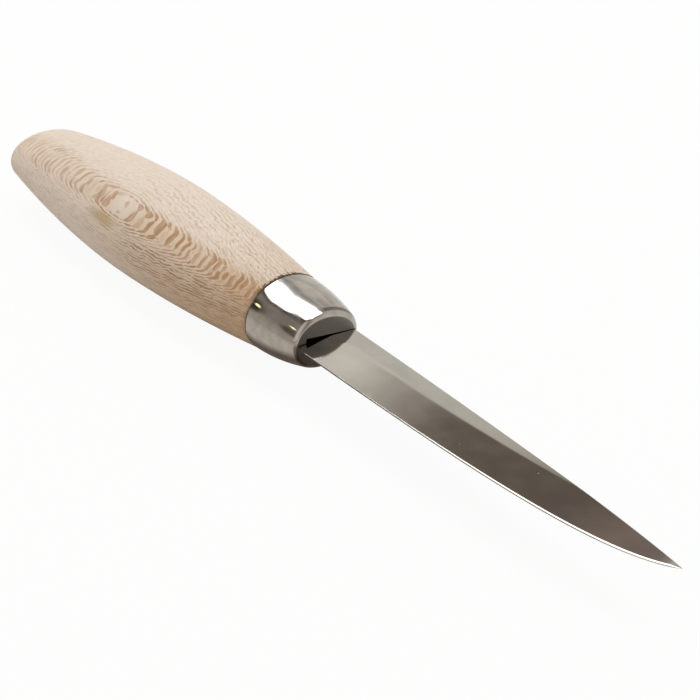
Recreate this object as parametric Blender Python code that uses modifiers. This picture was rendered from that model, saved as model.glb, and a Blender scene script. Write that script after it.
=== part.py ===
"""Sloyd knife: a wooden handle, a drawn metal ferrule, a blade with its stick tang, and the glue round the tang.

The knife lies on its side. The origin is the middle of the small flat on the butt, +X runs to the tip,
+Y to the spine and +Z out of the upper side of the blade. All sizes are in metres.
"""
import math

import bmesh
import bpy

# Fits
FIT_GAP = 0.0003                    # clearance between a piece and the one it seats on
SLOT_GAP = 0.0002                   # closer clearance of the blade's neck in the ferrule's slot

# Handle, an oval barrel: heights are across the blade's width, widths across its thickness
HANDLE_LENGTH = 0.0924              # wood that shows, from the butt to the ferrule
BUTT_HALF_HEIGHT = 0.0094
BUTT_HALF_WIDTH = 0.0054
FULL_HALF_HEIGHT = 0.0136           # at the fullest part of the barrel
FULL_HALF_WIDTH = 0.0102
FULL_HEIGHT_AT = 0.0445             # distances of the fullest parts from the butt
FULL_WIDTH_AT = 0.0505
BARREL_POWER = 1.8                  # how the barrel falls away: 2 is a parabola
BUTT_ROUND = 0.0048                 # length of the rounded end
BUTT_FLAT_HALF_HEIGHT = 0.0030      # the small sanded flat on the end

# Ferrule, flush with the handle at its back
FERRULE_LENGTH = 0.0122
FERRULE_BACK_HALF_HEIGHT = 0.0090
FERRULE_BACK_HALF_WIDTH = 0.0076
FERRULE_FRONT_HALF_HEIGHT = 0.0079
FERRULE_FRONT_HALF_WIDTH = 0.0059
FERRULE_BULGE = 0.00035             # how far its side stands out of a straight taper
FERRULE_EDGE_ROUND = 0.0018         # rounding between the side and the front
FERRULE_WALL = 0.0009

# Blade
BLADE_LENGTH = 0.0800
BLADE_THICKNESS = 0.0020
EDGE_DROP = 0.0069                  # the straight edge lies this far below the knife's axis
SPINE_RISE = 0.00625                # the spine at the heel lies this far above it
SPINE_CROWN = 0.0004                # the spine stands this far out of a straight line to the tip
TIP_RISE = 0.00215                  # and the tip this far
SPINE_ROUND = 0.00025               # broken corners along the spine
EDGE_STRAIGHT = 0.0150              # edge that runs straight before the belly begins
BELLY_REACH = 0.0370                # how far the belly stays flat
TIP_REACH = 0.0105                  # how far the tip's slope reaches back
TIP_SLOPE = math.radians(47)
HEEL_EASE = 0.0010                  # the corner of the heel is taken off

# Grind of the blade, the same on both sides
BEVEL_WIDTH_AT_HEEL = 0.0078
BEVEL_WIDTH_AT_TIP = 0.0086
EDGE_BEVEL_WIDTH = 0.0005           # the fine bevel that makes the cutting edge
EDGE_BEVEL_SLOPE = math.radians(15)

# Tang
TANG_LENGTH = 0.0700                # from the heel to its end inside the handle
TANG_THICKNESS = 0.0018
TANG_FRONT_HALF_HEIGHT = 0.0036
TANG_END_HALF_HEIGHT = 0.0020
NECK_DROP = 0.0045                  # lower side of the neck, where the blade passes the ferrule
GRIND_RUNOUT = 0.0030               # how far the bevels run on behind the ferrule's front wall
GLUE_THICKNESS = 0.0006

# Fineness of the meshes
RING_POINTS = 44
BARREL_STEPS = 14
ROUND_STEPS = 7
WALL_STEPS = 6
BELLY_STEPS = 26

# Places along X that follow from the sizes
FERRULE_BACK_X = HANDLE_LENGTH + FIT_GAP
FACE_X = FERRULE_BACK_X + FERRULE_LENGTH
HEEL_X = FACE_X + FIT_GAP
NECK_X = FACE_X - FERRULE_WALL
TENON_X = NECK_X - FIT_GAP
TANG_END_X = HEEL_X - TANG_LENGTH
TANG_ROOM_HALF = max(BLADE_THICKNESS, TANG_THICKNESS) / 2


def clear_scene():
    for item in list(bpy.data.objects):
        bpy.data.objects.remove(item, do_unlink=True)


def new_collection(name):
    collection = bpy.data.collections.new(name)
    bpy.context.scene.collection.children.link(collection)
    return collection


def make_material(name, colour, roughness, metallic):
    material = bpy.data.materials.new(name)
    material.use_nodes = True
    shader = material.node_tree.nodes["Principled BSDF"]
    shader.inputs["Base Color"].default_value = (*colour, 1.0)
    shader.inputs["Roughness"].default_value = roughness
    shader.inputs["Metallic"].default_value = metallic
    return material


def add_part(name, mesh, collection, material, sharp_angle):
    """Put a mesh in the scene as a named piece with its material and smooth shading."""
    part = bpy.data.objects.new(name, mesh)
    collection.objects.link(part)
    mesh.materials.append(material)
    mesh.shade_smooth()
    mesh.set_sharp_from_angle(angle=sharp_angle)
    return part


def add_cutter(name, mesh, collection):
    cutter = bpy.data.objects.new(name, mesh)
    collection.objects.link(cutter)
    cutter.hide_render = True
    cutter.display_type = "WIRE"
    return cutter


def combine(part, cutter, operation):
    boolean = part.modifiers.new(cutter.name, "BOOLEAN")
    boolean.object = cutter
    boolean.operation = operation
    boolean.solver = "EXACT"


def oval(x, half_height, half_width):
    """One ring of points across the knife, turning from +Y to +Z, with a facet flat on each axis."""
    turns = [2 * math.pi * (i + 0.5) / RING_POINTS for i in range(RING_POINTS)]
    return [(x, half_height * math.cos(a), half_width * math.sin(a)) for a in turns]


def loft(name, rings, closed_start=True, closed_end=True, point=None):
    """Join rings of points, given from low X to high X, into a skin that may end in a point."""
    bm = bmesh.new()
    rows = [[bm.verts.new(place) for place in ring] for ring in rings]
    count = len(rows[0])
    for row, following in zip(rows, rows[1:]):
        for i in range(count):
            j = (i + 1) % count
            bm.faces.new((row[i], row[j], following[j], following[i]))
    if closed_start:
        bm.faces.new(list(reversed(rows[0])))
    if point is not None:
        end = bm.verts.new(point)
        for i in range(count):
            bm.faces.new((rows[-1][i], rows[-1][(i + 1) % count], end))
    elif closed_end:
        bm.faces.new(rows[-1])
    mesh = bpy.data.meshes.new(name)
    bm.to_mesh(mesh)
    bm.free()
    return mesh


def plate(name, outline, half_thickness):
    """A flat outline in X and Y, given to both sides of the blade's middle plane, as a mesh."""
    curve = bpy.data.curves.new(name, "CURVE")
    curve.dimensions = "2D"
    curve.fill_mode = "BOTH"
    curve.extrude = half_thickness
    spline = curve.splines.new("POLY")
    spline.points.add(len(outline) - 1)
    for spot, (x, y) in zip(spline.points, outline):
        spot.co = (x, y, 0.0, 1.0)
    spline.use_cyclic_u = True
    source = bpy.data.objects.new(name, curve)
    bpy.context.scene.collection.objects.link(source)
    graph = bpy.context.evaluated_depsgraph_get()
    mesh = bpy.data.meshes.new_from_object(source.evaluated_get(graph))
    bpy.data.objects.remove(source, do_unlink=True)
    bm = bmesh.new()
    bm.from_mesh(mesh)
    bmesh.ops.remove_doubles(bm, verts=bm.verts, dist=1e-6)
    bmesh.ops.recalc_face_normals(bm, faces=bm.faces)
    bm.to_mesh(mesh)
    bm.free()
    return mesh


def barrel_half(x, butt, full, front, full_at):
    """Half size of the barrel at a distance from the butt, along one axis of the oval."""
    if x < full_at:
        return full - (full - butt) * ((full_at - x) / full_at) ** BARREL_POWER
    share = (x - full_at) / (HANDLE_LENGTH - full_at)
    return full - (full - front) * share ** BARREL_POWER


def barrel_oval(x, scale=1.0):
    height = barrel_half(x, BUTT_HALF_HEIGHT, FULL_HALF_HEIGHT, FERRULE_BACK_HALF_HEIGHT, FULL_HEIGHT_AT)
    width = barrel_half(x, BUTT_HALF_WIDTH, FULL_HALF_WIDTH, FERRULE_BACK_HALF_WIDTH, FULL_WIDTH_AT)
    return oval(x, height * scale, width * scale)


def ferrule_oval(x, inset=0.0):
    """The ferrule's outside at X, or a skin that lies a set distance inside it."""
    along = min(max((x - FERRULE_BACK_X) / (FERRULE_LENGTH - FERRULE_EDGE_ROUND), 0.0), 1.0)
    bulge = FERRULE_BULGE * 4 * along * (1 - along)
    height = FERRULE_BACK_HALF_HEIGHT + (FERRULE_FRONT_HALF_HEIGHT - FERRULE_BACK_HALF_HEIGHT) * along
    width = FERRULE_BACK_HALF_WIDTH + (FERRULE_FRONT_HALF_WIDTH - FERRULE_BACK_HALF_WIDTH) * along
    radius = max(FERRULE_EDGE_ROUND - inset, 0.0)
    into_round = min(max(x - (FACE_X - inset - radius), 0.0), radius)
    fall = radius - math.sqrt(max(radius ** 2 - into_round ** 2, 0.0))
    return oval(x, height + bulge - inset - fall, width + bulge - inset - fall)


def round_places(end_x, radius, steps):
    """Places along X that step evenly round a quarter circle ending at end_x."""
    return [end_x - radius + radius * math.sin(math.pi / 2 * i / steps) for i in range(1, steps + 1)]


def tang_outline(offset, front_x):
    """The tapered, round-ended tang, or the same outline grown by an offset, from front_x backwards."""
    end_half = TANG_END_HALF_HEIGHT + offset
    round_x = TANG_END_X + TANG_END_HALF_HEIGHT
    taper = (TANG_FRONT_HALF_HEIGHT - TANG_END_HALF_HEIGHT) / (NECK_X - round_x)
    front_half = end_half + taper * (front_x - round_x)
    points = [(front_x, -front_half), (front_x, front_half)]
    for i in range(ROUND_STEPS * 2 + 1):
        turn = math.pi / 2 + math.pi * i / (ROUND_STEPS * 2)
        points.append((round_x + end_half * math.cos(turn), end_half * math.sin(turn)))
    return points


def spine_height(x):
    along = max(x, 0.0) / BLADE_LENGTH
    return SPINE_RISE - (SPINE_RISE - TIP_RISE) * along + SPINE_CROWN * 4 * along * (1 - along)


def belly_points():
    """The edge from where it leaves its straight run to the tip, as one smooth curve."""
    start = (EDGE_STRAIGHT, -EDGE_DROP)
    end = (BLADE_LENGTH, TIP_RISE)
    leave = (EDGE_STRAIGHT + BELLY_REACH, -EDGE_DROP)
    arrive = (end[0] - TIP_REACH * math.cos(TIP_SLOPE), end[1] - TIP_REACH * math.sin(TIP_SLOPE))
    points = []
    for i in range(BELLY_STEPS + 1):
        t = i / BELLY_STEPS
        weights = ((1 - t) ** 3, 3 * t * (1 - t) ** 2, 3 * t * t * (1 - t), t ** 3)
        corners = (start, leave, arrive, end)
        points.append(tuple(sum(w * c[axis] for w, c in zip(weights, corners)) for axis in (0, 1)))
    return points


def blade_section(x, edge):
    """The ground section at a distance from the heel: spine, flats, bevels and edge bevels."""
    half = BLADE_THICKNESS / 2
    spine = spine_height(x)
    height = spine - edge
    bevel_width = BEVEL_WIDTH_AT_HEEL + (BEVEL_WIDTH_AT_TIP - BEVEL_WIDTH_AT_HEEL) * x / BLADE_LENGTH
    edge_width = min(EDGE_BEVEL_WIDTH, height / 4)
    edge_half = edge_width * math.tan(EDGE_BEVEL_SLOPE)
    slope = (half - EDGE_BEVEL_WIDTH * math.tan(EDGE_BEVEL_SLOPE)) / (bevel_width - EDGE_BEVEL_WIDTH)
    corner = min(SPINE_ROUND, height / 6)

    def thickness_at(y):
        return min(half, edge_half + slope * (y - edge - edge_width))

    corner_y = spine - corner
    shoulder_y = min(edge + bevel_width, corner_y - corner / 4)
    corner_half = thickness_at(corner_y)
    spine_half = corner_half - min(corner, corner_half / 2)
    side = [
        (spine, spine_half),
        (corner_y, corner_half),
        (shoulder_y, thickness_at(shoulder_y)),
        (edge + edge_width, edge_half),
    ]
    lower = [(y, -z) for y, z in reversed(side)]
    ring = side + [(edge, 0.0)] + lower
    return [(HEEL_X + x, y, z) for y, z in ring]


def make_handle(parts, cutters):
    flat = math.asin(BUTT_FLAT_HALF_HEIGHT / BUTT_HALF_HEIGHT)
    rings = []
    for i in range(ROUND_STEPS):
        turn = flat + (math.pi / 2 - flat) * i / ROUND_STEPS
        x = BUTT_ROUND * (1 - math.cos(turn) / math.cos(flat))
        rings.append(barrel_oval(x, math.sin(turn)))
    for i in range(BARREL_STEPS + 1):
        rings.append(barrel_oval(BUTT_ROUND + (HANDLE_LENGTH - BUTT_ROUND) * i / BARREL_STEPS))
    inset = FERRULE_WALL + FIT_GAP
    tenon_round = max(FERRULE_EDGE_ROUND - inset, FIT_GAP)
    tenon_places = [HANDLE_LENGTH + (TENON_X - tenon_round - HANDLE_LENGTH) * i / WALL_STEPS
                    for i in range(WALL_STEPS + 1)]
    tenon_places += round_places(TENON_X, tenon_round, ROUND_STEPS // 2)
    rings += [ferrule_oval(x, inset) for x in tenon_places]
    wood = make_material("plane_wood", (0.70, 0.55, 0.41), 0.55, 0.0)
    handle = add_part("handle", loft("handle", rings), parts, wood, math.radians(40))
    offset = 2 * FIT_GAP + GLUE_THICKNESS
    outline = tang_outline(offset, TENON_X + FERRULE_WALL)
    socket = add_cutter("tang_socket", plate("tang_socket", outline, TANG_ROOM_HALF + offset), cutters)
    combine(handle, socket, "DIFFERENCE")


def make_ferrule(parts, cutters):
    places = [FERRULE_BACK_X + (FERRULE_LENGTH - FERRULE_EDGE_ROUND) * i / WALL_STEPS
              for i in range(WALL_STEPS + 1)]
    places += round_places(FACE_X, FERRULE_EDGE_ROUND, ROUND_STEPS)
    skin = loft("ferrule", [ferrule_oval(x) for x in places], closed_start=False)
    metal = make_material("polished_ferrule", (0.62, 0.60, 0.57), 0.12, 1.0)
    ferrule = add_part("ferrule", skin, parts, metal, math.radians(40))
    wall = ferrule.modifiers.new("wall", "SOLIDIFY")
    wall.thickness = FERRULE_WALL
    wall.offset = -1.0
    wall.use_even_offset = True
    depth = 2 * FERRULE_WALL
    outline = [
        (FACE_X - depth, -NECK_DROP - SLOT_GAP),
        (FACE_X + depth, -NECK_DROP - SLOT_GAP),
        (FACE_X + depth, SPINE_RISE + SLOT_GAP),
        (FACE_X - depth, SPINE_RISE + SLOT_GAP),
    ]
    slot = add_cutter("blade_slot", plate("blade_slot", outline, BLADE_THICKNESS / 2 + SLOT_GAP), cutters)
    combine(ferrule, slot, "DIFFERENCE")


def make_blade(parts, cutters):
    start = NECK_X - GRIND_RUNOUT - HEEL_X
    belly = belly_points()
    rings = [blade_section(x, -EDGE_DROP) for x in (start, HEEL_EASE)]
    rings += [blade_section(x, y) for x, y in belly[:-1]]
    tip = (HEEL_X + belly[-1][0], belly[-1][1], 0.0)
    steel = make_material("polished_blade", (0.60, 0.58, 0.55), 0.15, 1.0)
    blade = add_part("blade", loft("blade", rings, point=tip), parts, steel, math.radians(3))
    back = NECK_X - 2 * GRIND_RUNOUT
    clear = BLADE_THICKNESS
    below = -EDGE_DROP - clear
    above = SPINE_RISE + clear
    heel_outline = [
        (back, -TANG_FRONT_HALF_HEIGHT),
        (back, below),
        (HEEL_X + HEEL_EASE + clear, below),
        (HEEL_X, -EDGE_DROP + HEEL_EASE),
        (HEEL_X, -NECK_DROP),
        (NECK_X, -NECK_DROP),
        (NECK_X, -TANG_FRONT_HALF_HEIGHT),
    ]
    shoulder_outline = [
        (back, TANG_FRONT_HALF_HEIGHT),
        (NECK_X, TANG_FRONT_HALF_HEIGHT),
        (NECK_X, above),
        (back, above),
    ]
    heel = add_cutter("heel_relief", plate("heel_relief", heel_outline, BLADE_THICKNESS), cutters)
    shoulder = add_cutter("tang_shoulder", plate("tang_shoulder", shoulder_outline, BLADE_THICKNESS), cutters)
    tang_mesh = plate("tang", tang_outline(0.0, NECK_X - GRIND_RUNOUT / 2), TANG_THICKNESS / 2)
    tang = add_cutter("tang", tang_mesh, cutters)
    combine(blade, heel, "DIFFERENCE")
    combine(blade, shoulder, "DIFFERENCE")
    combine(blade, tang, "UNION")


def make_adhesive(parts, cutters):
    outer = FIT_GAP + GLUE_THICKNESS
    body = plate("tang_adhesive", tang_outline(outer, TENON_X), TANG_ROOM_HALF + outer)
    glue = make_material("cured_glue", (0.09, 0.06, 0.035), 0.4, 0.0)
    adhesive = add_part("tang_adhesive", body, parts, glue, math.radians(40))
    inner = plate("tang_room", tang_outline(FIT_GAP, TENON_X + FERRULE_WALL), TANG_ROOM_HALF + FIT_GAP)
    combine(adhesive, add_cutter("tang_room", inner, cutters), "DIFFERENCE")


def main():
    clear_scene()
    parts = new_collection("sloyd_knife")
    cutters = new_collection("cutters")
    make_handle(parts, cutters)
    make_ferrule(parts, cutters)
    make_blade(parts, cutters)
    make_adhesive(parts, cutters)


main()
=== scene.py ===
"""Looks of a sloyd knife: a figured wooden handle, a polished ferrule and a ground blade, on a pale floor.

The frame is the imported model's: the origin is the middle of the butt's flat, +X runs to the tip,
+Y to the spine and +Z out of the blade's upper side. All sizes are in metres.

A named step is written as (from, to, value before, value after), where the last two are 0 and 1 if
left out. A named gain is written as (gain, start), and a named ramp as stops of (place, colour).
"""
from math import asin, cos, hypot, pi, radians, sin, sqrt, tan
from types import SimpleNamespace

import bmesh
import bpy
from mathutils import Matrix, Vector, noise


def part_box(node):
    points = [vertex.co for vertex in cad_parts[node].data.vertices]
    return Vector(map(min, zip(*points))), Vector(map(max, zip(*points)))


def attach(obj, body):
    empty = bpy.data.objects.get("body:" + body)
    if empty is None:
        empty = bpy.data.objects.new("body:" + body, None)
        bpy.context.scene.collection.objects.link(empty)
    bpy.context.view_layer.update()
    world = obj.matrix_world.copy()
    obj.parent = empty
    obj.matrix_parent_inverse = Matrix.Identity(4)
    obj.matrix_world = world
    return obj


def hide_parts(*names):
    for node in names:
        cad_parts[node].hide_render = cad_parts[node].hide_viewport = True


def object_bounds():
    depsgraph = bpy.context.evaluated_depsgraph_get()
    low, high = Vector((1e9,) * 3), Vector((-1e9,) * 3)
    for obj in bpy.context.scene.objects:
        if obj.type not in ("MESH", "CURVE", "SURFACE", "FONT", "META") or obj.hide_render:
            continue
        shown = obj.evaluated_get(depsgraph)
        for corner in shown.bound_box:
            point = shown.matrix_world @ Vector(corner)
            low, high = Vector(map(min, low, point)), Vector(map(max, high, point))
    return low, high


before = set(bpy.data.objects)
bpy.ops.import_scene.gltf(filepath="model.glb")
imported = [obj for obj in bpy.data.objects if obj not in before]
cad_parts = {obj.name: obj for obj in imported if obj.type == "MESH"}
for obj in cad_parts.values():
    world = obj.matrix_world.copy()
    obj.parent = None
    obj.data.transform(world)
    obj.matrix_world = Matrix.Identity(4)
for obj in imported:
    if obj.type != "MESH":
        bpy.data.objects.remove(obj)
cad_low, cad_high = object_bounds()
handle_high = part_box("handle")[1]
ferrule_low, ferrule_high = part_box("ferrule")
blade_low, blade_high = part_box("blade")

# Camera, found from the knife's outline in the photograph
CAMERA_PLACE = Vector((0.28416, -0.15312, 0.11661))
CAMERA_AIM = Vector((0.10965, 0.00146, 0.0))
CAMERA_ROLL = radians(6.955)
CAMERA_LENS = 76.39
SENSOR_WIDTH = 36.0
CLIP_START = 0.01

# Fits
FIT_GAP = 0.0003
SLOT_GAP = 0.0002
SLOT_GAP_AT_SPINE = 0.00006  # the slot is wider beside the ground edge than beside the spine
SLOT_GAP_AT_EDGE = 0.00035

# Handle
HANDLE_LENGTH = ferrule_low.x - FIT_GAP
BUTT_HALF_HEIGHT = 0.0094
BUTT_HALF_WIDTH = 0.0054
FULL_HALF_HEIGHT = handle_high.y
FULL_HALF_WIDTH = handle_high.z
FULL_HEIGHT_AT = 0.0445
FULL_WIDTH_AT = 0.0505
BARREL_POWER = 1.8
BUTT_ROUND = 0.0048
BUTT_FLAT_HALF_HEIGHT = 0.0030
WOOD_EDGE_ROUND = 0.00012  # broken edge of the wood at the ferrule
WOOD_EDGE_MIDDLE_BACK = WOOD_EDGE_ROUND / 3  # middle of that round, from the wood's end
WOOD_EDGE_MIDDLE_INSET = WOOD_EDGE_ROUND / 4  # and from the barrel's surface
WOOD_EDGE_CHIP = 0.00034  # how far fibres are torn out of that edge
CHIP_SIZE = 0.0004
HANDLE_SHARP = radians(40)  # angle from which an edge is shaded sharp

# Ferrule
FERRULE_BACK_X = ferrule_low.x
FACE_X = ferrule_high.x
FERRULE_LENGTH = FACE_X - FERRULE_BACK_X
FERRULE_BACK_HALF_HEIGHT = 0.0090
FERRULE_BACK_HALF_WIDTH = 0.0076
FERRULE_FRONT_HALF_HEIGHT = 0.0079
FERRULE_FRONT_HALF_WIDTH = 0.0059
FERRULE_BULGE = 0.00035
FERRULE_EDGE_ROUND = 0.0018
FERRULE_STRAIGHT = FERRULE_LENGTH - FERRULE_EDGE_ROUND
FERRULE_EDGE_NARROW = 0.54  # how much smaller the front's round is beside the ground edge
FERRULE_FRONT_DROP = 0.00035  # how much nearer to the axis the front is there
FERRULE_EDGE_CREASE = 0.3  # how much of the front edge's round is a plain slope
FERRULE_BACK_ROUND = 0.00015
FERRULE_BACK_EASE = FERRULE_BACK_ROUND / 3  # how far along the wall the back round runs
FERRULE_WALL = 0.0009
RIPPLE_HEIGHT = 0.000009  # unevenness left by drawing and polishing
RIPPLE_SIZE = 0.0022
FERRULE_SHARP = radians(30)

# Blade
HEEL_X = FACE_X + FIT_GAP
BLADE_LENGTH = blade_high.x - HEEL_X
HALF_THICKNESS = blade_high.z
EDGE_DROP = -blade_low.y
SPINE_RISE = 0.00625
SPINE_CROWN = 0.0004
TIP_RISE = 0.00215
SPINE_ROUND = 0.00025
SPINE_ROUND_PART = 6  # the round is at most the blade's height divided by this
EDGE_STRAIGHT = 0.0150
BELLY_REACH = 0.0370
TIP_REACH = 0.0105
TIP_SLOPE = radians(47)
HEEL_EASE = 0.0010
BEVEL_WIDTH_AT_HEEL = 0.0078
BEVEL_WIDTH_AT_TIP = 0.0086
EDGE_BEVEL_WIDTH = 0.00040
EDGE_BEVEL_PART = 4  # the edge bevel is at most the blade's height divided by this
EDGE_BEVEL_NARROW = 0.55  # how much narrower it is at the heel than at the tip
EDGE_BEVEL_SLOPE = radians(15)
EDGE_HONE_WIDTH = 0.0001  # the last strip, steeper still, that honing leaves at the edge
EDGE_HONE_SLOPE = radians(50)
SHOULDER_SOFTNESS = 0.000012  # how much metal the polish takes off the corner above the bevel
SHOULDER_PART = 4  # that corner is below the spine's round by at least the round divided by this
BLADE_SHARP = radians(4)

# Tang
TANG_THICKNESS = 0.0018
TANG_FRONT_HALF_HEIGHT = 0.0036
TANG_END_HALF_HEIGHT = 0.0020
NECK_DROP = 0.0045
GRIND_RUNOUT = 0.0030
GLUE_THICKNESS = 0.0006
NECK_X = FACE_X - FERRULE_WALL
TENON_X = handle_high.x
TANG_END_X = blade_low.x

# Fineness of the meshes
RING_POINTS = 176
BARREL_STEPS = 150
ROUND_STEPS = 24
WALL_STEPS = 40
BELLY_STEPS = 120
STRAIGHT_SHARES = (0.3, 0.55, 0.8)  # sections on the edge's straight run
SPINE_SHARES = (0.5, 1.0)  # points from the middle of the spine to its round
SPINE_TURNS = (30, 60)  # points on that round, in degrees
FLAT_SHARES = (0.0, 0.25, 0.5, 0.7, 0.82, 0.9, 0.95, 1.0)  # points on the flat, closer by the shoulder
BEVEL_SHARES = (0.02, 0.04, 0.07, 0.12, 0.2, 0.35, 0.55, 0.75, 0.9, 1.0)

# Rays of the wood
FIGURE_X = 0.0517  # middle of the rings along the handle
GRAIN_TURN = radians(129.5)  # direction square to the rays there, turned from +Y to +Z
GRAIN_TWIST = radians(144)  # how far the grain winds round the handle in a metre
RING_BOW = 0.083  # how steeply the grain dips away from that middle
RING_LEAN = 0.012  # how much steeper towards the ferrule, and less steep towards the butt
RING_ROUND = 0.0035  # how blunt the rings are there
RAY_PITCH = 0.00034  # from one ray to the next, square to the rays
RAY_HEIGHT = 0.0029  # of a ray along the handle
RAY_REACH = 0.0040  # of a ray from the heart of the tree outwards
RAY_WAVE = 0.0038  # length of the waves in the rays
RAY_RIPPLE = 2.6  # how much shorter the ripples on them are
RAY_START = 0.09  # how far past a ray's border the middle of the rings is, in rays
RAY_SPREAD = 0.40  # how many rays fewer the surface crosses where it runs along them
RAY_BEND = 2.2  # how many more it then crosses, where the flecks end
RAY_TAPER = 0.25  # how far from its border a ray tapers, in rays
ROW_SHIFT = (7.31, 3.17)  # from one row of rays to the next, along and outwards, in rays
UNEVEN_RATE = 0.6  # how often the rows' spacing changes, and by how much, in rows
UNEVEN_SHIFT = 0.9
FLECK_THINNEST = 0.19  # half of the thinnest fleck, in rows
FLECK_VARIETY = (0.19, 0.13)  # how much thicker others are, more so where the surface runs along the rays
LINE_STEP = radians(4.0)  # from one row of rays to the next, round the handle beside the rings
LINE_CLIMB = radians(520)  # how much nearer to the rings a row comes in a metre
LINE_LENGTH = 0.0048  # of a ray there along the handle
LINE_WAVE = 2.2  # how far waves and ripples shift those rows, in rows
LINE_RIPPLE = 0.9
LINE_THINNEST = (0.07, 0.16)  # thicker below the rings
LINE_VARIETY = 0.16
LINE_SOFTNESS = 0.10  # of a line's border, in rows
SOFT_OUTSIDE = 0.9  # how far a border fades outwards, for each 1 inwards
BESIDE_STRENGTH = (0.65, 0.40)  # how strong the rays are beside the rings, more so below them
FLECK_STRENGTH = (0.36, 0.64)  # stronger away from the butt

# Steps in the figure, where lean is the sine of the surface's turn away from the middle of the rings
LEAN_ALONG = (0.016, 0.044, 0.72, 1.0)  # the figure is wider towards the butt
SPREAD_BY_LEAN = (0.0, 0.18, RAY_START, RAY_START + RAY_SPREAD)
BEND_BY_LEAN = (0.14, 0.48, 0.0, -RAY_BEND)
WAVE_BY_LEAN = (0.14, 0.40, 0.6, 1.0)
RIPPLE_BY_LEAN = (0.12, 0.40, 0.1, 1.1)
RUN_BY_LEAN = (0.15, 0.29, 1.0, 0.0)  # where the surface runs along the rays
RUN_BY_FACING = (0.88, 0.93)
SOFTNESS_ALONG = (0.012, 0.050, 0.24, 0.10)  # flecks are softer by the butt
RAY_FAINTNESS = (0.0, 0.42, 0.20, 1.0)  # some rays are fainter than the rest
BELOW_RINGS = (-0.007, 0.001, 1.0, 0.0)  # from the heart outwards
BESIDE_ALONG = (0.070, 0.092, 1.0, 1.25)
BESIDE_BY_TURN = (0.85, 1.4, 1.0, 0.45)  # rays fade away from the rings, in radians
LINES_ALONG = (0.040, 0.072, 0.40, 1.1)
TO_LINES_BY_LEAN = (0.24, 0.44)
FIGURED_ALONG = (0.026, 0.062)
FLECKS_ALONG = (0.006, 0.020, 0.6, 1.0)
FIBRE_GAPS = (0.30, 0.65, 0.62, 1.0)  # fibres break the rays up

# Colours of the wood
CREAM = "#DDD2C5"
ROSY_CREAM = "#DFD1C5"
CREAM_PATCHES = 140.0  # in a metre
CREAM_STEP = (0.3, 0.7)
# painted shade: the handle's lower side browner towards the ferrule, where less light falls
LOWER_SIDE_SHADE_BROWN = "#C1A78B"
LOWER_SIDE_SHADE_OUTWARD = (-0.010, -0.001, 1.0, 0.0)
LOWER_SIDE_SHADE_ALONG = (0.030, 0.092)
FIBRE_BROWN = "#C6B098"
FIBRE_THICKNESS = 0.00014
FIBRE_LENGTH = 0.0016
FIBRE_STEP = (0.35, 0.75, 0.0, 0.35)
TAN = "#D1B99E"  # of the ground between flecks
TAN_STRENGTH = (0.47, 0.15)  # stronger away from the butt
TAN_FROM_MIDDLE = (0.002, 0.006, 0.2, 1.0)
STAIN_BROWN = "#B59A6C"
STAIN_X = 0.0478  # middle of a brown stain below the rings
STAIN_ASIDE = -0.39  # how far round from the rings it is, as a sine
STAIN_ALONG = (0.0010, 0.0062, 0.75, 0.0)
STAIN_ROUND = (0.03, 0.17, 1.0, 0.0)
SHADE_BY_FERRULE_BROWN = "#C0A182"  # painted shade by the ferrule, stronger on the lower side
SHADE_BY_FERRULE_ALONG = (0.074, 0.093)
SHADE_BY_FERRULE_OUTWARD = (-0.003, 0.003, 0.8, 0.2)
FLECK_BROWN = "#A9835F"
LINE_BROWN = "#A38567"
PORE_BROWN = "#A3876B"
PORE_LENGTH = 0.0009
PORES_IN_RAY = 2.2
PORE_STEP = (0.56, 0.70)
PORE_ALONG = (0.060, 0.092, 0.10, 0.65)
# painted shadow of the gap at the ferrule, and dirt
GAP_SHADOW_AND_DIRT_BROWN = "#624E3C"
GAP_SHADOW_AND_DIRT_LENGTH = 0.0021  # of the dark line on the wood beside the ferrule: painted shadow of the gap there, and dirt
GAP_SHADOW_AND_DIRT_GRAINS = 2600.0  # in a metre
GAP_SHADOW_AND_DIRT_ALONG = (HANDLE_LENGTH + GAP_SHADOW_AND_DIRT_LENGTH / 4.4, HANDLE_LENGTH + GAP_SHADOW_AND_DIRT_LENGTH / 3)
GAP_SHADOW_AND_DIRT_OUTWARD = (-0.004, 0.002, 0.2, 1.0)
GAP_SHADOW_AND_DIRT_END = (HANDLE_LENGTH, HANDLE_LENGTH + WOOD_EDGE_CHIP, 1.0, 0.0)
WOOD_GLOSS = 0.25
WOOD_ROUGHNESS = (0.2, 0.8, 0.52, 0.68)
RAY_DEPTH = 0.5  # of the rays below the fibres
WOOD_BUMP = (0.25, 0.00008)  # strength and height

# Finish of the ferrule
FERRULE_TINTS = ("#B0AAA2", "#BEB9B1")
FERRULE_CLOUDS = 480.0  # in a metre
FERRULE_TINT_STEP = (0.35, 0.7)
FACE_TINT = "#77736F"  # the front wall is left duller
FACE_ALONG = (FACE_X - 0.00006, FACE_X - 0.00002)
FACE_ROUGHER = 0.3
RIM_SHADE = "#6A6358"
RIM_X = FACE_X - 0.00135  # where a line of painted shade lies behind the rim of the front edge
RIM_START = (RIM_X - 0.0003, RIM_X)
RIM_END = (RIM_X + 0.0004, RIM_X + 0.0007, 1.0, 0.0)
RIM_ACROSS = (-0.0014, -0.0002, 0.0, 0.85)
EDGE_SIDE_SHADE = "#716A62"  # painted shade on the front beside the ground edge
EDGE_SIDE_SHADE_ACROSS = (-0.0045, -0.0030, 1.0, 0.0)
EDGE_SIDE_SHADE_RISE = (-0.0002, 0.0010, 1.0, 0.0)
EDGE_SIDE_SHADE_ALONG = (FACE_X - 0.0006, FACE_X - 0.0003)
FERRULE_ROUGHNESS = (0.3, 0.8, 0.06, 0.12)
FERRULE_SCRATCHES = (9000.0, 400.0, 400.0)  # in a metre along X, Y and Z
FERRULE_BUMP = (0.05, 0.00002)

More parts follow.
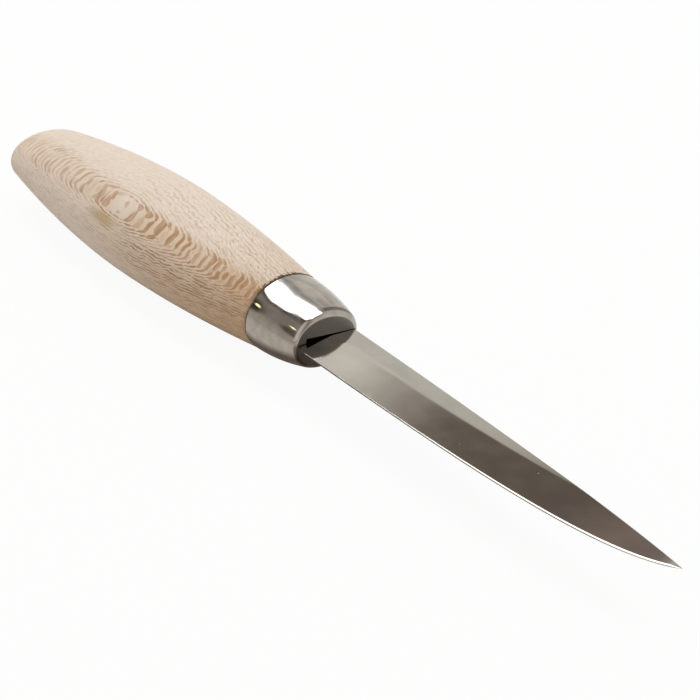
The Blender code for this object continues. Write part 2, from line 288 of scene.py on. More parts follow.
# Finish of the blade
STEEL_TINTS = ("#C4BFB7", "#CCC8C0")
STEEL_CLOUDS = 180.0
STEEL_TINT_STEP = (0.3, 0.7)
HEEL_SHADE_TINT = "#5C5650"  # painted shade by the heel, for the ferrule's dark front mirrored there
HEEL_SHADE_ALONG = (HEEL_X + 0.0014, HEEL_X + 0.0060, 1.0, 0.0)
HEEL_SHADE_ACROSS = (-0.0046, -0.0010, 0.42, 0.0)
SPECK_TINT = "#C8AE92"  # of the specks of dust that cling to the steel
SPECK_CELLS = 450.0  # in a metre, some with a speck in them
SPECK_ROUND = (0.045, 0.085, 1.0, 0.0)
SPECK_CHANCE = (0.60, 0.62)
SPECK_ALONG = (0.150, 0.170, 0.35, 1.0)
STEEL_ROUGHNESS = (0.3, 0.8, 0.07, 0.12)
STEEL_SCRATCHES = (300.0, 9000.0, 9000.0)
STEEL_BUMP = (0.04, 0.00002)

# Finish of the glue, dark enough to stand in for the shade inside the slot as well
GLUE_AND_SHADE_TINTS = ("#1C140D", "#3A2B1D")
GLUE_CLOUDS = 700.0
GLUE_ROUGHNESS = (0.3, 0.7, 0.35, 0.55)

# Floor
WHITE = (1.0, 1.0, 1.0, 1.0)
FLOOR_SIZE = 12.0
FLOOR_HALF_THICKNESS = 0.005
FLOOR_GREY = (0.75, 0.75, 0.75, 1.0)
FLOOR_SEEN = 0.94  # share of plain white that the camera sees in the floor
FLOOR_MIRRORED = 0.15  # and that polished metal shows of it

# Room, with places in degrees round from +X and up
STUDIO_X = 0.11  # the lamps and the room are set out round this place on the knife
ROOM_RADIUS = 2.6
ROOM_SEGMENTS = 64
ROOM_DROP = ROOM_RADIUS / 16  # rings of the sphere lower than this are left off
LIGHT_TURN = 80.0  # middle of the light side
LIGHT_SIDE = (-0.25, 0.65)  # by the cosine of the turn from it
WALL_RAMP = (
    (0.0, (0.84, 0.81, 0.77)), (34.0, (0.77, 0.745, 0.71)), (46.0, (0.71, 0.69, 0.66)),
    (58.0, (0.56, 0.545, 0.52)), (75.0, (0.57, 0.575, 0.59)),
)
BAND_SLOPE = -0.45  # the band's shades lie at a slant across the light side
BAND_RISE = 26.9
BAND_START = (117.0, 123.0)
BAND_END = (141.5, 147.0, 1.0, 0.0)
BAND_TOP = (54.0, 60.0, 1.0, 0.0)
BAND_RAMP = (
    (-10.0, (0.79, 0.765, 0.73)), (-7.7, (0.72, 0.71, 0.685)), (-5.8, (0.69, 0.69, 0.645)),
    (-3.0, (0.69, 0.665, 0.62)), (-1.2, (0.57, 0.54, 0.50)), (2.0, (0.17, 0.142, 0.122)),
    (10.0, (0.167, 0.138, 0.124)), (12.9, (0.285, 0.225, 0.20)), (15.2, (0.243, 0.195, 0.18)),
    (23.0, (0.24, 0.203, 0.195)), (28.0, (0.57, 0.575, 0.59)),
)
DIM_RAMP = (
    (0.0, (0.52, 0.49, 0.45)), (10.0, (0.50, 0.47, 0.43)), (22.0, (0.35, 0.32, 0.29)),
    (60.0, (0.34, 0.31, 0.285)),
)
DARK_WAYS = ((219, 19.5), (262, 21))  # middles of the dark places beside the lamps
DARK_REACH = 16  # from those middles to where the dark ends, and to where it is full
DARK_FULL = 6
DARK_COLOUR = (0.09, 0.07, 0.05, 1.0)
FILL_START = (-112.0, -76.0)  # a light stretch of the brown side
FILL_END = (-58.0, -16.0, 1.0, 0.0)
FILL_COLOUR = (0.85, 0.81, 0.76, 1.0)

# Lamps
SOFTBOX_HEIGHT = 1.2
SOFTBOX_OUTLINE = (
    (-1.9, 0.10), (-1.24, -0.26), (-1.15, -0.46), (-0.97, -0.68), (-0.62, -0.63), (-0.47, -0.53),
    (-0.38, -0.37), (0.35, 0.0), (0.35, 0.60), (-1.9, 0.37),
)
SOFTBOX_COLOUR = (1.0, 0.99, 0.97, 1.0)
SOFTBOX_STRENGTH = 3.15
SOFTBOX_FRAMES = ((0.11, 0.10), (0.26, 0.21))  # reach of each dark frame round the softbox, and its tone
FRAME_STEP = 0.01  # how far each frame is above what it frames
FRAME_WARMTH = (1.0, 0.94, 0.91)
FRAME_ACROSS = (-0.1, 0.2)
FRAME_GREY = (0.40, 0.41, 0.43, 1.0)
LAMP_DISTANCE = 2.0
LAMP_WAYS = ((224.5, 24), (253, 35.5))  # degrees round from +X and up
LAMP_RADII = (0.080, 0.058)
LAMP_SIDES = 36
LAMP_COLOUR = (1.0, 0.85, 0.5, 1.0)
LAMP_STRENGTH = 4.0

# Cards that only polished metal shows
FLAG_OUTLINE = ((-2.4, -2.4), (2.4, -2.4), (2.4, -0.05), (0.145, -0.05), (0.145, 0.0145), (-2.4, 0.0145))
FLAG_LIFT = 0.0002
# painted shadow of the knife on the floor, as polished metal shows it
FLAG_PAINTED_SHADOW = (0.16, 0.13, 0.11, 1.0)
FLAG_PALE = (0.74, 0.71, 0.67, 1.0)
FLAG_GREY = (0.54, 0.51, 0.47, 1.0)
FLAG_TO_PALE = (0.0065, 0.0145)
FLAG_TO_GREY = (0.020, 0.090)
SCREEN_HEIGHT = 0.030  # of the card above the knife that stands before the softbox's border
SCREEN_OUTLINE = (
    (0.066, 0.0086), (0.0728, 0.0062), (0.0855, 0.0016), (0.0905, 0.0054), (0.0935, 0.0076),
    (0.0945, 0.0115), (0.0920, 0.0200), (0.0895, 0.0402), (0.066, 0.0402),
)
SCREEN_CORNER = SCREEN_OUTLINE[2]  # from which its front border slopes both ways
SCREEN_SLOPE_TO_TIP = 0.75
SCREEN_SLOPE_TO_BUTT = -0.36
SCREEN_RAMP = (
    (0.0, (1.0, 1.0, 1.0)), (0.0012, (0.66, 0.70, 0.74)), (0.0030, (0.45, 0.455, 0.465)),
    (0.0055, (0.35, 0.35, 0.35)), (0.0080, (0.37, 0.37, 0.36)), (0.0105, (0.53, 0.515, 0.49)),
    (0.0130, (0.565, 0.545, 0.515)),
)
SCREEN_GREY = (0.40, 0.385, 0.36, 1.0)
SCREEN_GREY_ALONG = (0.081, 0.091)
SCREEN_GREY_DEPTH = (0.009, 0.014)
SCREEN_STRENGTH = 1.5


# Meshes

def mesh_object(mesh):
    thing = bpy.data.objects.new(mesh.name, mesh)
    bpy.context.scene.collection.objects.link(thing)
    return thing


def finished_mesh(name, bm):
    mesh = bpy.data.meshes.new(name)
    bm.to_mesh(mesh)
    bm.free()
    return mesh


def loft(name, rings, closed_start=True, point=None):
    """Join rings of points, given from low X to high X, into a skin that ends in a face or in a point."""
    bm = bmesh.new()
    rows = [[bm.verts.new(place) for place in ring] for ring in rings]
    count = len(rows[0])
    for row, following in zip(rows, rows[1:]):
        for i in range(count):
            j = (i + 1) % count
            bm.faces.new((row[i], row[j], following[j], following[i]))
    if closed_start:
        bm.faces.new(list(reversed(rows[0])))
    if point is None:
        bm.faces.new(rows[-1])
    else:
        end = bm.verts.new(point)
        for i in range(count):
            bm.faces.new((rows[-1][i], rows[-1][(i + 1) % count], end))
    return finished_mesh(name, bm)


def plate(name, outline, half_thickness):
    """A flat outline in X and Y, given thickness to both sides of its plane."""
    bm = bmesh.new()
    upper = [bm.verts.new((x, y, half_thickness)) for x, y in outline]
    lower = [bm.verts.new((x, y, -half_thickness)) for x, y in outline]
    bm.faces.new(upper)
    bm.faces.new(list(reversed(lower)))
    for i in range(len(outline)):
        j = (i + 1) % len(outline)
        bm.faces.new((upper[i], lower[i], lower[j], upper[j]))
    bmesh.ops.recalc_face_normals(bm, faces=bm.faces)
    return finished_mesh(name, bm)


def flat_mesh(name, corners):
    bm = bmesh.new()
    bm.faces.new([bm.verts.new(place) for place in corners])
    return finished_mesh(name, bm)


def apply_modifiers(thing):
    graph = bpy.context.evaluated_depsgraph_get()
    mesh = bpy.data.meshes.new_from_object(thing.evaluated_get(graph))
    thing.modifiers.clear()
    thing.data = mesh


def combine(thing, tool_mesh, operation):
    """Cut a tool out of a piece, or join it to the piece, for good."""
    tool = mesh_object(tool_mesh)
    boolean = thing.modifiers.new(tool.name, "BOOLEAN")
    boolean.object = tool
    boolean.operation = operation
    boolean.solver = "EXACT"
    apply_modifiers(thing)
    bpy.data.objects.remove(tool, do_unlink=True)


def dress(thing, node, material, sharp_angle):
    """Give a finished piece its material and shading, and let it stand for its node."""
    thing.data.materials.clear()
    thing.data.materials.append(material)
    thing.data.shade_smooth()
    thing.data.set_sharp_from_angle(angle=sharp_angle)
    thing.modifiers.new("even_normals", "WEIGHTED_NORMAL").keep_sharp = True
    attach(thing, "root")
    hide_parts(node)


def between(first, last, share):
    return first + (last - first) * share


def even_places(first, last, steps):
    return [first + (last - first) * i / steps for i in range(steps + 1)]


def oval(x, half_height, half_width):
    turns = [2 * pi * i / RING_POINTS for i in range(RING_POINTS)]
    return [(x, half_height * cos(a), half_width * sin(a)) for a in turns]


def round_places(end_x, radius, steps):
    """Places along X that follow a quarter round up to its end."""
    return [end_x - radius + radius * sin(pi / 2 * i / steps) for i in range(1, steps + 1)]


# Handle

def barrel_half(x, butt, full, front, full_at):
    if x < full_at:
        return full - (full - butt) * ((full_at - x) / full_at) ** BARREL_POWER
    share = (x - full_at) / (HANDLE_LENGTH - full_at)
    return full - (full - front) * share ** BARREL_POWER


def barrel_size(x):
    height = barrel_half(x, BUTT_HALF_HEIGHT, FULL_HALF_HEIGHT, FERRULE_BACK_HALF_HEIGHT, FULL_HEIGHT_AT)
    width = barrel_half(x, BUTT_HALF_WIDTH, FULL_HALF_WIDTH, FERRULE_BACK_HALF_WIDTH, FULL_WIDTH_AT)
    return height, width


def barrel_oval(x, scale=1.0, inset=0.0):
    height, width = barrel_size(x)
    return oval(x, height * scale - inset, width * scale - inset)


def chipped(ring):
    """The wood's front edge, with fibres torn out of it here and there."""
    places = []
    for x, y, z in ring:
        torn = noise.noise(Vector((x, y, z)) / CHIP_SIZE)
        places.append((x - WOOD_EDGE_CHIP * max(torn, 0.0), y, z))
    return places


def tang_outline(offset, front_x):
    end_half = TANG_END_HALF_HEIGHT + offset
    round_x = TANG_END_X + TANG_END_HALF_HEIGHT
    taper = (TANG_FRONT_HALF_HEIGHT - TANG_END_HALF_HEIGHT) / (NECK_X - round_x)
    front_half = end_half + taper * (front_x - round_x)
    points = [(front_x, -front_half), (front_x, front_half)]
    for i in range(ROUND_STEPS + 1):
        turn = pi / 2 + pi * i / ROUND_STEPS
        points.append((round_x + end_half * cos(turn), end_half * sin(turn)))
    return points


def make_handle(material):
    """The barrel with its rounded butt, the tenon in the ferrule and the socket for the tang."""
    flat = asin(BUTT_FLAT_HALF_HEIGHT / BUTT_HALF_HEIGHT)
    rings = []
    for i in range(ROUND_STEPS):
        turn = flat + (pi / 2 - flat) * i / ROUND_STEPS
        x = BUTT_ROUND * (1 - cos(turn) / cos(flat))
        rings.append(barrel_oval(x, sin(turn)))
    barrel_places = even_places(BUTT_ROUND, HANDLE_LENGTH - WOOD_EDGE_ROUND, BARREL_STEPS)
    rings += [barrel_oval(x) for x in barrel_places]
    rings.append(chipped(barrel_oval(HANDLE_LENGTH - WOOD_EDGE_MIDDLE_BACK, inset=WOOD_EDGE_MIDDLE_INSET)))
    rings.append(chipped(barrel_oval(HANDLE_LENGTH, inset=WOOD_EDGE_ROUND)))
    inset = FERRULE_WALL + FIT_GAP
    tenon_round = max(FERRULE_EDGE_ROUND - inset, FIT_GAP)
    tenon_places = even_places(HANDLE_LENGTH, TENON_X - tenon_round, WALL_STEPS)
    tenon_places += round_places(TENON_X, tenon_round, ROUND_STEPS // 2)
    rings += [ferrule_oval(x, inset) for x in tenon_places]
    handle = mesh_object(loft("wood_handle", rings))
    offset = 2 * FIT_GAP + GLUE_THICKNESS
    outline = tang_outline(offset, TENON_X + FERRULE_WALL)
    combine(handle, plate("tang_socket", outline, HALF_THICKNESS + offset), "DIFFERENCE")
    dress(handle, "handle", material, HANDLE_SHARP)


# Ferrule

def ferrule_oval(x, inset=0.0):
    """A ring of the ferrule, or of what lies inside it: tapered, bulged and rounded off at the front."""
    places = []
    for i in range(RING_POINTS):
        turn = 2 * pi * i / RING_POINTS
        to_edge = (1 - cos(turn)) / 2
        edge_round = FERRULE_EDGE_ROUND * (1 - FERRULE_EDGE_NARROW * to_edge)
        wall_end = (FERRULE_LENGTH - edge_round) / FERRULE_STRAIGHT
        along = (x - FERRULE_BACK_X) / FERRULE_STRAIGHT
        along = min(max(along, 0.0), wall_end)
        bulge = FERRULE_BULGE * 4 * along * (1 - along)
        front_height = FERRULE_FRONT_HALF_HEIGHT - FERRULE_FRONT_DROP * to_edge
        height = between(FERRULE_BACK_HALF_HEIGHT, front_height, along)
        width = between(FERRULE_BACK_HALF_WIDTH, FERRULE_FRONT_HALF_WIDTH, along)
        radius = max(edge_round - inset, 0.0)
        into_round = min(max(x - (FACE_X - inset - radius), 0.0), radius)
        fall = radius - sqrt(max(radius ** 2 - into_round ** 2, 0.0))
        fall += FERRULE_EDGE_CREASE * (into_round - fall)
        off = bulge - inset - fall
        places.append((x, (height + off) * cos(turn), (width + off) * sin(turn)))
    return places


def rippled(ring):
    """A ring of the ferrule with its faint unevenness, towards the knife's axis and away from it."""
    places = []
    for x, y, z in ring:
        wave = noise.noise(Vector((x, y, z)) / RIPPLE_SIZE)
        scale = 1 + RIPPLE_HEIGHT * wave / max(hypot(y, z), RIPPLE_SIZE)
        places.append((x, y * scale, z * scale))
    return places


def make_ferrule(material):
    """The drawn cup, open at the back, with the blade's slot in its front wall."""
    places = [FERRULE_BACK_X + FERRULE_STRAIGHT * i / WALL_STEPS for i in range(1, WALL_STEPS + 1)]
    places += round_places(FACE_X, FERRULE_EDGE_ROUND, ROUND_STEPS)
    rings = [oval(FERRULE_BACK_X, FERRULE_BACK_HALF_HEIGHT - FERRULE_BACK_ROUND,
                  FERRULE_BACK_HALF_WIDTH - FERRULE_BACK_ROUND)]
    rings.append([(FERRULE_BACK_X + FERRULE_BACK_EASE, y, z) for x, y, z in ferrule_oval(FERRULE_BACK_X)])
    rings += [rippled(ferrule_oval(x)) for x in places]
    ferrule = mesh_object(loft("drawn_ferrule", rings, closed_start=False))
    wall = ferrule.modifiers.new("wall", "SOLIDIFY")
    wall.thickness = FERRULE_WALL
    wall.offset = -1.0
    wall.use_even_offset = True
    apply_modifiers(ferrule)
    depth = 2 * FERRULE_WALL
    low_half = HALF_THICKNESS + SLOT_GAP_AT_EDGE
    high_half = HALF_THICKNESS + SLOT_GAP_AT_SPINE
    corners = [(SPINE_RISE + SLOT_GAP, -high_half), (SPINE_RISE + SLOT_GAP, high_half),
               (-NECK_DROP - SLOT_GAP, low_half), (-NECK_DROP - SLOT_GAP, -low_half)]
    slot = loft("blade_slot", [[(x, y, z) for y, z in corners] for x in (FACE_X - depth, FACE_X + depth)])
    combine(ferrule, slot, "DIFFERENCE")
    dress(ferrule, "ferrule", material, FERRULE_SHARP)


# Blade

def spine_height(x):
    along = max(x, 0.0) / BLADE_LENGTH
    return SPINE_RISE - (SPINE_RISE - TIP_RISE) * along + SPINE_CROWN * 4 * along * (1 - along)


def belly_points():
    """The edge from where it leaves its straight run to the tip, as one smooth curve."""
    start = (EDGE_STRAIGHT, -EDGE_DROP)
    end = (BLADE_LENGTH, TIP_RISE)
    leave = (EDGE_STRAIGHT + BELLY_REACH, -EDGE_DROP)
    arrive = (end[0] - TIP_REACH * cos(TIP_SLOPE), end[1] - TIP_REACH * sin(TIP_SLOPE))
    corners = (start, leave, arrive, end)
    points = []
    for i in range(BELLY_STEPS + 1):
        t = i / BELLY_STEPS
        weights = ((1 - t) ** 3, 3 * t * (1 - t) ** 2, 3 * t * t * (1 - t), t ** 3)
        points.append(tuple(sum(w * c[axis] for w, c in zip(weights, corners)) for axis in (0, 1)))
    return points


def blade_section(x, edge):
    """The ground section at a distance from the heel, with the corner above the bevel polished round."""
    spine = spine_height(x)
    height = spine - edge
    bevel_width = BEVEL_WIDTH_AT_HEEL + (BEVEL_WIDTH_AT_TIP - BEVEL_WIDTH_AT_HEEL) * x / BLADE_LENGTH
    fine = min(height / EDGE_BEVEL_PART / EDGE_BEVEL_WIDTH, 1.0)
    full_edge = EDGE_BEVEL_WIDTH * (1 - EDGE_BEVEL_NARROW * (1 - x / BLADE_LENGTH))
    edge_width = full_edge * fine
    hone_width = EDGE_HONE_WIDTH * fine
    hone_half = hone_width * tan(EDGE_HONE_SLOPE)
    edge_half = hone_half + (edge_width - hone_width) * tan(EDGE_BEVEL_SLOPE)
    slope = (HALF_THICKNESS - edge_half / fine) / (bevel_width - full_edge)
    corner = min(SPINE_ROUND, height / SPINE_ROUND_PART)
    softness = SHOULDER_SOFTNESS * min(height / bevel_width, 1.0)

    def half_at(y):
        bevel_half = edge_half + slope * (y - edge - edge_width)
        over = bevel_half - HALF_THICKNESS
        return HALF_THICKNESS + (over - sqrt(over ** 2 + 4 * softness ** 2)) / 2

    corner_y = spine - corner
    shoulder_y = min(edge + bevel_width, corner_y - corner / SHOULDER_PART)
    bevel_foot = edge + edge_width
    corner_half = half_at(corner_y)
    spine_half = corner_half - min(corner, corner_half / 2)
    side = [(spine, spine_half * share) for share in SPINE_SHARES]
    for turn in SPINE_TURNS:
        out = cos(radians(90 - turn))
        y = corner_y + corner * cos(radians(turn))
        side.append((y, between(spine_half, corner_half, out)))
    heights = [between(corner_y, shoulder_y, share) for share in FLAT_SHARES]
    heights += [between(shoulder_y, bevel_foot, share) for share in BEVEL_SHARES]
    side += [(y, half_at(y)) for y in heights]
    side.append((edge + hone_width, hone_half))
    lower = [(y, -z) for y, z in reversed(side)]
    ring = side + [(edge, 0.0)] + lower
    return [(HEEL_X + x, y, z) for y, z in ring]


def make_blade(material):
    """The ground blade, cut back to its neck at the heel and joined to its tang."""
    start = NECK_X - GRIND_RUNOUT - HEEL_X
    belly = belly_points()
    straight = [start, HEEL_EASE] + [EDGE_STRAIGHT * share for share in STRAIGHT_SHARES]
    rings = [blade_section(x, -EDGE_DROP) for x in straight]
    rings += [blade_section(x, y) for x, y in belly[:-1]]
    tip = (HEEL_X + belly[-1][0], belly[-1][1], 0.0)
    blade = mesh_object(loft("ground_blade", rings, point=tip))
    back = NECK_X - 2 * GRIND_RUNOUT
    clear = 2 * HALF_THICKNESS
    below = -EDGE_DROP - clear
    above = SPINE_RISE + clear
    heel_outline = [
        (back, -TANG_FRONT_HALF_HEIGHT), (back, below), (HEEL_X + HEEL_EASE + clear, below),
        (HEEL_X, -EDGE_DROP + HEEL_EASE), (HEEL_X, -NECK_DROP), (NECK_X, -NECK_DROP),
        (NECK_X, -TANG_FRONT_HALF_HEIGHT),
    ]
    shoulder_outline = [
        (back, TANG_FRONT_HALF_HEIGHT), (NECK_X, TANG_FRONT_HALF_HEIGHT), (NECK_X, above), (back, above),
    ]
    combine(blade, plate("heel_relief", heel_outline, clear), "DIFFERENCE")
    combine(blade, plate("tang_shoulder", shoulder_outline, clear), "DIFFERENCE")
    tang = plate("tang", tang_outline(0.0, NECK_X - GRIND_RUNOUT / 2), TANG_THICKNESS / 2)
    combine(blade, tang, "UNION")
    dress(blade, "blade", material, BLADE_SHARP)


# Materials

def linear(code):
    """A colour given as it looks on a screen, in the linear values that shaders take."""
    values = [int(code[i:i + 2], 16) / 255 for i in (1, 3, 5)]
    return tuple(v / 12.92 if v <= 0.04045 else ((v + 0.055) / 1.055) ** 2.4 for v in values) + (1.0,)


class Shader:
    """A material's node tree with short ways to add the nodes used here."""

    def __init__(self, name):
        self.material = bpy.data.materials.new(name)
        self.material.use_nodes = True
        self.tree = self.material.node_tree
        self.surface = self.tree.nodes["Principled BSDF"]

    def feed(self, socket, value):
        """Link a node's output to a socket, or set the socket to a plain value or to a colour's code."""
        if isinstance(value, bpy.types.NodeSocket):
            self.tree.links.new(value, socket)
        elif isinstance(value, str):
            socket.default_value = linear(value)
        else:
            socket.default_value = value

    def finish(self, name, value):
        self.feed(self.surface.inputs[name], value)

    def add(self, kind, output=0, inputs=None, **settings):
        node = self.tree.nodes.new(kind)
        for key, value in settings.items():
            setattr(node, key, value)
        for key, value in (inputs or {}).items():
            self.feed(node.inputs[key], value)
        return node.outputs[output]

    def math(self, operation, first, second=0.0, third=0.0):
        return self.add("ShaderNodeMath", operation=operation, inputs={0: first, 1: second, 2: third})

    def minus(self, first, second):
        return self.math("SUBTRACT", first, second)

    def affine(self, value, scale, offset):
        return self.math("MULTIPLY_ADD", value, scale, offset)

    def product(self, first, *others):
        for other in others:
            first = self.math("MULTIPLY", first, other)
        return first

    def vector(self, operation, first, second, output="Vector"):
        return self.add("ShaderNodeVectorMath", output, {0: first, 1: second}, operation=operation)

    def dot(self, first, second):
        return self.vector("DOT_PRODUCT", first, second, "Value")

    def join(self, x, y=0.0, z=0.0):
        return self.add("ShaderNodeCombineXYZ", inputs={0: x, 1: y, 2: z})

    def split(self, place, axes):
        return [self.add("ShaderNodeSeparateXYZ", axis, {0: place}) for axis in axes]

    def place(self):
        return self.add("ShaderNodeTexCoord", "Object")

    def stretch(self, *scaled):
        """A place in a stretched space, from up to three values and the scale of each."""
        return self.join(*(self.math("MULTIPLY", value, scale) for value, scale in scaled))

    def noise(self, place, scale=1.0, detail=2.0, rough=0.5):
        return self.add("ShaderNodeTexNoise", "Fac",
                        {"Vector": place, "Scale": scale, "Detail": detail, "Roughness": rough})

    def wobble(self, place, detail, rough=0.5):
        """Noise to both sides of nought."""
        return self.minus(self.noise(place, detail=detail, rough=rough), 0.5)

    def cells(self, place, output, scale=1.0, feature="F1", dimensions="3D"):
        return self.add("ShaderNodeTexVoronoi", output, {"Vector": place, "Scale": scale},
                        feature=feature, voronoi_dimensions=dimensions)

    def step(self, value, low, high, to_low=0.0, to_high=1.0):
        """A soft step between two levels."""
        return self.add("ShaderNodeMapRange", "Result", {
            "Value": value, "From Min": low, "From Max": high, "To Min": to_low, "To Max": to_high,
        }, interpolation_type="SMOOTHSTEP")

    def steps(self, *pairs):
        """The product of several named steps, each given with its value."""
        return self.product(*(self.step(value, *levels) for value, levels in pairs))

    def mix(self, share, first, second):
        return self.add("ShaderNodeMix", 2, {0: share, 6: first, 7: second}, data_type="RGBA")

    def bump(self, height, strength, distance):
        inputs = {"Height": height, "Strength": strength, "Distance": distance}
        return self.add("ShaderNodeBump", "Normal", inputs)

    def ramp(self, value, stops):
        """Colours that follow a value from stop to stop."""
        low, high = stops[0][0], stops[-1][0]
        node = self.tree.nodes.new("ShaderNodeValToRGB")
        self.feed(node.inputs[0], self.add("ShaderNodeMapRange", "Result", {
            "Value": value, "From Min": low, "From Max": high}))
        elements = node.color_ramp.elements
        while len(elements) < len(stops):
            elements.new(0.5)
        for element, (stop, colour) in zip(elements, stops):
            element.position = (stop - low) / (high - low)
            element.color = (*colour, 1.0)
        return node.outputs["Color"]


# Wood

def wood_grain(wood):
    """Where a point of the surface lies in the grain, and how the surface is turned there."""
    place = wood.place()
    along = wood.split(place, "X")[0]
    from_middle = wood.minus(along, FIGURE_X)
    turn = wood.affine(from_middle, GRAIN_TWIST, GRAIN_TURN)
    turn_y = wood.math("COSINE", turn)
    turn_z = wood.math("SINE", turn)
    square = wood.join(0.0, turn_y, turn_z)
    outward = wood.join(0.0, turn_z, wood.math("MULTIPLY", turn_y, -1.0))
    normal = wood.add("ShaderNodeNewGeometry", "Normal")
    aside = wood.dot(normal, outward)
    return SimpleNamespace(
        place=place,
        along=along,
        from_middle=from_middle,
        reach=wood.math("SQRT", wood.affine(from_middle, from_middle, RING_ROUND ** 2)),
        across=wood.dot(place, square),
        radial=wood.dot(place, outward),
        facing=wood.math("ABSOLUTE", wood.dot(normal, square)),
        aside=aside,
        lean=wood.product(wood.math("ABSOLUTE", aside), wood.step(along, *LEAN_ALONG)),
    )


def wood_levels(wood, grain):
    """Which ray a point lies in, counted across the rays, and the waves and ripples that shift them."""
    height, width = barrel_size(FIGURE_X)
    crest = hypot(height * cos(GRAIN_TURN), width * sin(GRAIN_TURN)) - RING_BOW * RING_ROUND
    dip = wood.affine(grain.reach, RING_BOW, wood.product(grain.from_middle, RING_LEAN))
    below = wood.minus(wood.minus(grain.across, dip), crest)
    level = wood.affine(below, 1 / RAY_PITCH, wood.step(grain.lean, *SPREAD_BY_LEAN))
    level = wood.math("ADD", level, wood.step(grain.lean, *BEND_BY_LEAN))
    wave_place = wood.stretch((grain.along, 1 / RAY_WAVE), (grain.radial, 1 / RAY_WAVE))
    wave = wood.wobble(wave_place, 3.0, 0.6)
    ripple = wood.wobble(wood.vector("MULTIPLY", wave_place, (RAY_RIPPLE,) * 3), 1.0)
    uneven = wood.wobble(wood.stretch((level, UNEVEN_RATE)), 1.0)
    level = wood.affine(wave, wood.step(grain.lean, *WAVE_BY_LEAN), level)
    level = wood.affine(ripple, wood.step(grain.lean, *RIPPLE_BY_LEAN), level)
    level = wood.affine(uneven, UNEVEN_SHIFT, level)
    return level, wave, ripple


def cut_rays(wood, grain, row, length, thinnest, variety, outside, softness):
    """Rays where the surface cuts them, a row in each level: tapered, of unlike length and thickness."""
    layer = wood.math("FLOOR", row)
    within = wood.minus(row, layer)
    shift_along, shift_outward = ROW_SHIFT
    place = wood.join(
        wood.affine(grain.along, 1 / length, wood.product(layer, shift_along)),
        wood.affine(grain.radial, 1 / RAY_REACH, wood.product(layer, shift_outward)))
    border = wood.cells(place, "Distance", feature="DISTANCE_TO_EDGE", dimensions="2D")
    chance = wood.cells(place, "Color", dimensions="2D")
    pick, thick = (wood.add("ShaderNodeSeparateColor", channel, {0: chance}) for channel in ("Red", "Green"))
    taper = wood.math("SQRT", wood.math("MINIMUM", wood.product(border, 1 / RAY_TAPER), 1.0))
    half = wood.product(taper, wood.affine(thick, variety, thinnest))
    off_centre = wood.math("ABSOLUTE", wood.minus(within, 0.5))
    ray = wood.step(wood.minus(half, off_centre), outside, softness)
    return wood.product(ray, wood.step(pick, *RAY_FAINTNESS))


def wood_rays(wood, grain):
    """How strongly a ray shows: as a fleck where the surface runs along the rays, as a line beside that."""
    level, wave, ripple = wood_levels(wood, grain)
    along_ray = wood.steps((grain.lean, RUN_BY_LEAN), (grain.facing, RUN_BY_FACING))
    variety = wood.affine(along_ray, *FLECK_VARIETY)
    softness = wood.step(grain.along, *SOFTNESS_ALONG)
    outside = wood.product(softness, -SOFT_OUTSIDE)
    flecks = cut_rays(wood, grain, level, RAY_HEIGHT, FLECK_THINNEST, variety, outside, softness)

    round_from = wood.math("ARCSINE", wood.math("MINIMUM", grain.lean, 1.0))
    row = wood.affine(grain.reach, LINE_CLIMB, round_from)
    row = wood.affine(row, -1 / LINE_STEP, wood.product(wave, LINE_WAVE))
    row = wood.affine(ripple, LINE_RIPPLE, row)
    below_rings = wood.step(grain.radial, *BELOW_RINGS)
    thinnest = wood.affine(below_rings, *LINE_THINNEST)
    outside = -SOFT_OUTSIDE * LINE_SOFTNESS
    lines = cut_rays(wood, grain, row, LINE_LENGTH, thinnest, LINE_VARIETY, outside, LINE_SOFTNESS)

    beside = wood.affine(below_rings, *BESIDE_STRENGTH)
    beside = wood.product(beside, wood.step(grain.along, *BESIDE_ALONG),
                          wood.step(round_from, *BESIDE_BY_TURN))
    depth = wood.affine(along_ray, wood.minus(1.0, beside), beside)
    flecks = wood.product(flecks, depth)
    lines = wood.product(lines, wood.product(beside, wood.step(grain.along, *LINES_ALONG)))
    to_lines = wood.step(grain.lean, *TO_LINES_BY_LEAN)
    strength = wood.affine(to_lines, wood.minus(lines, flecks), flecks)
    return SimpleNamespace(strength=strength, level=level, along_ray=along_ray, to_lines=to_lines)


def wood_ground(wood, grain, rays, fibre, figured):
    """The colour between the rays: cream, with painted shade as brown on the lower side and by the ferrule,
    and a stain.
    """
    patches = wood.noise(grain.place, CREAM_PATCHES)
    ground = wood.mix(wood.step(patches, *CREAM_STEP), CREAM, ROSY_CREAM)
    # painted shade on the lower side, growing towards the ferrule
    lower_side_shade = wood.steps((grain.radial, LOWER_SIDE_SHADE_OUTWARD), (grain.along, LOWER_SIDE_SHADE_ALONG))
    ground = wood.mix(lower_side_shade, ground, LOWER_SIDE_SHADE_BROWN)
    ground = wood.mix(wood.step(fibre, *FIBRE_STEP), ground, FIBRE_BROWN)
    off_middle = wood.step(wood.math("ABSOLUTE", grain.from_middle), *TAN_FROM_MIDDLE)
    tanned = wood.product(rays.along_ray, off_middle, wood.affine(figured, *TAN_STRENGTH))
    ground = wood.mix(tanned, ground, TAN)
    from_stain = wood.math("ABSOLUTE", wood.minus(grain.along, STAIN_X))
    round_stain = wood.math("ABSOLUTE", wood.minus(grain.aside, STAIN_ASIDE))
    stain = wood.steps((from_stain, STAIN_ALONG), (round_stain, STAIN_ROUND))
    ground = wood.mix(stain, ground, STAIN_BROWN)
    # painted shade: browner by the ferrule, mostly on the lower side
    shade_by_ferrule = wood.steps((grain.along, SHADE_BY_FERRULE_ALONG), (grain.radial, SHADE_BY_FERRULE_OUTWARD))
    return wood.mix(shade_by_ferrule, ground, SHADE_BY_FERRULE_BROWN)


